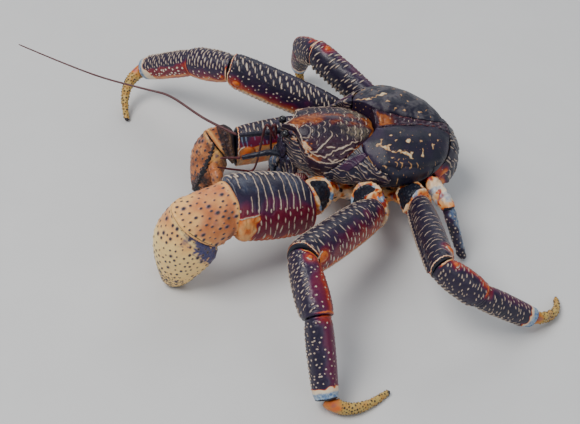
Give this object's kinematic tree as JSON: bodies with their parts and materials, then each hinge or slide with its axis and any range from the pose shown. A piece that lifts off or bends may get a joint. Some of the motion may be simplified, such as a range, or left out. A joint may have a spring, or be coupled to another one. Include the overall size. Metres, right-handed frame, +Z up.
{
  "type": "coconut crab",
  "caption": "Large land hermit crab, a coconut crab, standing low on its leg tips and claw tips with its legs spread and its short abdomen tucked under.",
  "frame": {"origin": "on the floor, under the middle of the model's bounding box", "axes": "+Z up, +X towards the animal's rear end, -Y towards its left side; the trunk is turned about 20 degrees in plan from +X"},
  "size_m": [0.4266, 0.3534, 0.0866],
  "materials": {
    "shell_dark": "glossy shell, blue-black with cream marks",
    "shell_brown": "satin shell, orange-brown with cream ridges",
    "limb_dark": "satin shell, dark purple with cream ridges",
    "claw_orange": "satin shell, salmon orange with dark tubercles",
    "dactyl_ochre": "matt shell, ochre with black spiny dots",
    "joint_cream": "matt shell, cream with orange edges",
    "feeler_red": "satin, dark maroon",
    "soft_skin": "soft wrinkled skin, ochre brown",
    "eye_black": "glossy black"
  },
  "bodies": {
    "root": {"carapace_shield": "shell_brown", "carapace_cardiac": "shell_brown", "carapace_branchial_left": "shell_dark", "carapace_branchial_right": "shell_dark", "carapace_flank_left": "shell_dark", "carapace_flank_right": "shell_dark", "pleon_tergite_1": "shell_dark", "pleon_tergite_2": "shell_dark", "pleon_tergite_3": "shell_dark", "pleon_tergite_4": "shell_dark", "head_epistome": "shell_dark", "eyestalk_left": "shell_dark", "eyestalk_right": "shell_dark", "antenna_left": "shell_dark", "antenna_right": "shell_dark", "maxilliped_left": "shell_dark", "maxilliped_right": "shell_dark", "thorax_underside": "joint_cream", "pleon_soft": "soft_skin", "leg2_left_base": "joint_cream", "leg2_left_merus": "limb_dark", "leg2_left_carpus": "limb_dark", "leg2_left_propodus": "limb_dark", "leg2_left_dactyl": "dactyl_ochre", "leg2_right_base": "joint_cream", "leg2_right_merus": "limb_dark", "leg2_right_carpus": "limb_dark", "leg2_right_propodus": "limb_dark", "leg2_right_dactyl": "dactyl_ochre", "leg3_left_base": "joint_cream", "leg3_left_merus": "limb_dark", "leg3_left_carpus": "limb_dark", "leg3_left_propodus": "limb_dark", "leg3_left_dactyl": "dactyl_ochre", "leg3_right_base": "joint_cream", "leg3_right_merus": "limb_dark", "leg3_right_carpus": "limb_dark", "leg3_right_propodus": "limb_dark", "leg3_right_dactyl": "dactyl_ochre", "cheliped_left_ischium": "joint_cream", "cheliped_left_merus": "limb_dark", "cheliped_left_carpus": "claw_orange", "cheliped_left_palm": "claw_orange", "cheliped_left_finger": "claw_orange", "cheliped_right_ischium": "joint_cream", "cheliped_right_merus": "limb_dark", "cheliped_right_carpus": "claw_orange", "cheliped_right_palm": "claw_orange", "cheliped_right_finger": "claw_orange", "leg4_left_upper": "joint_cream", "leg4_left_lower": "limb_dark", "leg4_right_upper": "joint_cream", "leg4_right_lower": "limb_dark", "eye_left": "eye_black", "antennule_left": "feeler_red", "flagellum_left": "feeler_red", "eye_right": "eye_black", "antennule_right": "feeler_red", "flagellum_right": "feeler_red"}
  },
  "joints": []
}
